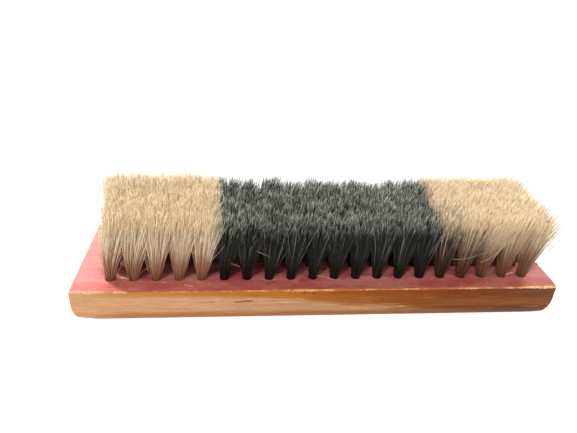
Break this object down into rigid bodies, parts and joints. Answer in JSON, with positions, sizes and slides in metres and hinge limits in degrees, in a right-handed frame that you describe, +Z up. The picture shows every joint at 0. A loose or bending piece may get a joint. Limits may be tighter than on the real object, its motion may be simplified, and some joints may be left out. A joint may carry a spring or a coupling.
{
  "type": "clothes brush",
  "caption": "Long rectangular wooden clothes brush block with rows of natural bristle tufts, pale at both ends and dark in the middle, each tuft held by a hidden wire anchor.",
  "frame": {"origin": "centre of the block's flat underside", "axes": "+X along the block's length, +Y to the back, +Z up towards the bristle tips"},
  "size_m": [0.191, 0.05, 0.041],
  "materials": {
    "stained_wood": "red stained and varnished, worn to bare wood along the edges of the bristle face",
    "light_bristle": "undyed natural bristle, slightly glossy",
    "dark_bristle": "black natural bristle, slightly glossy",
    "anchor_wire": "drawn flat wire, slightly tarnished"
  },
  "bodies": {
    "root": {"wooden_block": "stained_wood", "left_light_tufts_row_1": "light_bristle", "left_anchors_row_1": "anchor_wire", "left_light_tufts_row_2": "light_bristle", "left_anchors_row_2": "anchor_wire", "left_light_tufts_row_3": "light_bristle", "left_anchors_row_3": "anchor_wire", "left_light_tufts_row_4": "light_bristle", "left_anchors_row_4": "anchor_wire", "left_light_tufts_row_5": "light_bristle", "left_anchors_row_5": "anchor_wire", "middle_dark_tufts_row_1": "dark_bristle", "middle_anchors_row_1": "anchor_wire", "middle_dark_tufts_row_2": "dark_bristle", "middle_anchors_row_2": "anchor_wire", "middle_dark_tufts_row_3": "dark_bristle", "middle_anchors_row_3": "anchor_wire", "middle_dark_tufts_row_4": "dark_bristle", "middle_anchors_row_4": "anchor_wire", "middle_dark_tufts_row_5": "dark_bristle", "middle_anchors_row_5": "anchor_wire", "right_light_tufts_row_1": "light_bristle", "right_anchors_row_1": "anchor_wire", "right_light_tufts_row_2": "light_bristle", "right_anchors_row_2": "anchor_wire", "right_light_tufts_row_3": "light_bristle", "right_anchors_row_3": "anchor_wire", "right_light_tufts_row_4": "light_bristle", "right_anchors_row_4": "anchor_wire", "right_light_tufts_row_5": "light_bristle", "right_anchors_row_5": "anchor_wire"}
  },
  "joints": []
}
